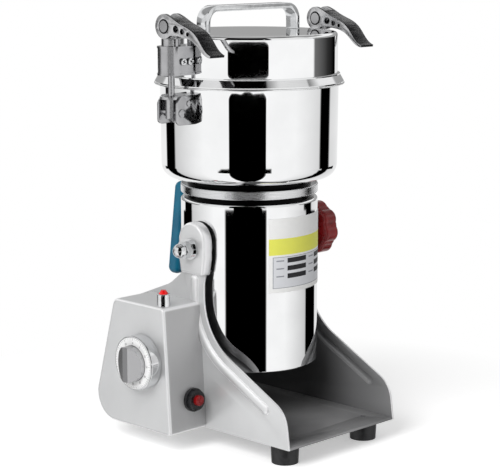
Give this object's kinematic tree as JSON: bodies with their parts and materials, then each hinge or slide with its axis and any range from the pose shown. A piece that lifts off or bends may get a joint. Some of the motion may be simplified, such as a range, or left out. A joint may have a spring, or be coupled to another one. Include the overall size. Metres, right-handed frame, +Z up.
{
  "type": "electric grain mill",
  "caption": "Swing-type electric grain mill: polished round motor and bowl with a latched lid, tilting between cheeks over a tray, with a timer box on one side.",
  "frame": {"origin": "on the table below the mill axis, in the plane of the four feet", "axes": "+Z up along the mill axis; -Y to the front, where the tray ends; -X to the control box; the mill tilts about an axis along X"},
  "size_m": [0.2285, 0.2073, 0.3712],
  "materials": {
    "satin_sheet": "satin",
    "tray_sheet": "satin",
    "polished_steel": "polished",
    "brushed_band": "brushed",
    "cast_latch": "cast, satin",
    "bright_steel": "bright",
    "blade_steel": "ground",
    "black_rubber": "matt",
    "white_silicone": "matt",
    "black_plastic": "satin",
    "white_nylon": "matt",
    "red_plastic": "gloss",
    "red_lens": "clear gloss",
    "teal_plastic": "satin",
    "chrome_knob": "bright, with a printed scale ring",
    "cast_aluminium": "as cast",
    "core_steel": "laminated",
    "copper_winding": "enamelled wire",
    "copper_bars": "turned",
    "carbon": "matt",
    "plate_print": "printed foil"
  },
  "bodies": {
    "base": {"foot_front_left": "black_rubber", "foot_front_right": "black_rubber", "foot_rear_left": "black_rubber", "foot_rear_right": "black_rubber", "foot_screws": "bright_steel", "tray_floor": "tray_sheet", "rear_wall": "tray_sheet", "left_cheek": "satin_sheet", "right_cheek": "satin_sheet", "pivot_bushes": "white_nylon", "control_box": "satin_sheet", "timer_switch": "black_plastic", "breaker_body": "black_plastic", "indicator_sleeve": "bright_steel", "indicator_lens": "red_lens", "cord_gland": "black_plastic"},
    "mill": {"motor_housing": "polished_steel", "motor_base_plate": "black_plastic", "neck_collar": "brushed_band", "lower_end_bracket": "cast_aluminium", "upper_end_bracket": "cast_aluminium", "shaft_bearings": "bright_steel", "stator_core": "core_steel", "field_coils": "copper_winding", "brush_holders": "black_plastic", "carbon_brushes": "carbon", "pivot_studs": "bright_steel", "acorn_nut": "bright_steel", "pivot_washers": "bright_steel", "grip_strap": "bright_steel", "rear_grip": "teal_plastic", "grip_screws": "bright_steel", "rating_plate": "plate_print", "grinding_bowl": "polished_steel", "bowl_flange": "brushed_band", "shaft_seal": "white_silicone", "left_latch_keeper": "bright_steel", "right_latch_keeper": "bright_steel"},
    "rotor": {"motor_shaft": "bright_steel", "armature_core": "core_steel", "armature_windings": "copper_winding", "commutator": "copper_bars", "cooling_fan": "black_plastic", "lower_blade": "blade_steel", "upper_blade": "blade_steel", "blade_spacers": "bright_steel", "blade_nut": "bright_steel"},
    "lid": {"lid_rim": "brushed_band", "lid_gasket": "white_silicone", "lid_shell": "polished_steel", "lid_handle": "bright_steel"},
    "left_latch": {"left_latch_rod": "bright_steel", "left_latch_shoe": "polished_steel"},
    "right_latch": {"right_latch_rod": "bright_steel", "right_latch_shoe": "polished_steel"},
    "left_lever": {"left_cam_lever": "cast_latch"},
    "right_lever": {"right_cam_lever": "cast_latch"},
    "timer_dial": {"timer_knob": "chrome_knob"},
    "reset_button": {"breaker_button": "red_plastic"},
    "lock_wheel": {"lock_knob": "red_plastic"}
  },
  "joints": [
    {"name": "body_tilt", "type": "hinge", "parent": "base", "child": "mill", "pos_m": [0, 0, 0.1697], "axis": [1, 0, 0], "range_deg": [0, 105]},
    {"name": "rotor_spin", "type": "hinge", "parent": "mill", "child": "rotor", "pos_m": [0, 0, 0.2], "axis": [0, 0, 1], "continuous": true},
    {"name": "lid_lift", "type": "slide", "parent": "mill", "child": "lid", "axis": [0, 0, 1], "range_m": [0, 0.09]},
    {"name": "left_latch_swing", "type": "hinge", "parent": "mill", "child": "left_latch", "pos_m": [-0.09, 0, 0.286], "axis": [0, -1, 0], "range_deg": [0, 115.1]},
    {"name": "right_latch_swing", "type": "hinge", "parent": "mill", "child": "right_latch", "pos_m": [0.09, 0, 0.286], "axis": [0, 1, 0], "range_deg": [0, 115.1]},
    {"name": "left_lever_turn", "type": "hinge", "parent": "left_latch", "child": "left_lever", "pos_m": [-0.09, 0, 0.356], "axis": [-1, 0, 0], "range_deg": [0, 120]},
    {"name": "right_lever_turn", "type": "hinge", "parent": "right_latch", "child": "right_lever", "pos_m": [0.09, 0, 0.356], "axis": [-1, 0, 0], "range_deg": [0, 120]},
    {"name": "timer_turn", "type": "hinge", "parent": "base", "child": "timer_dial", "pos_m": [-0.1068, 0.0195, 0.0765], "axis": [-1, 0, 0], "range_deg": [0, 300]},
    {"name": "breaker_press", "type": "slide", "parent": "base", "child": "reset_button", "axis": [0, 0.9975, -0.0711], "range_m": [0, 0.0025], "stiffness_N_per_m": 400},
    {"name": "lock_knob_turn", "type": "hinge", "parent": "base", "child": "lock_wheel", "pos_m": [0.085, 0, 0.1697], "axis": [-1, 0, 0], "range_deg": [0, 270]}
  ],
  "couplings": [
    {"joint": "left_latch_swing", "follows": "lid_lift", "rad_per_m": 22.301},
    {"joint": "right_latch_swing", "follows": "lid_lift", "rad_per_m": 22.301}
  ]
}
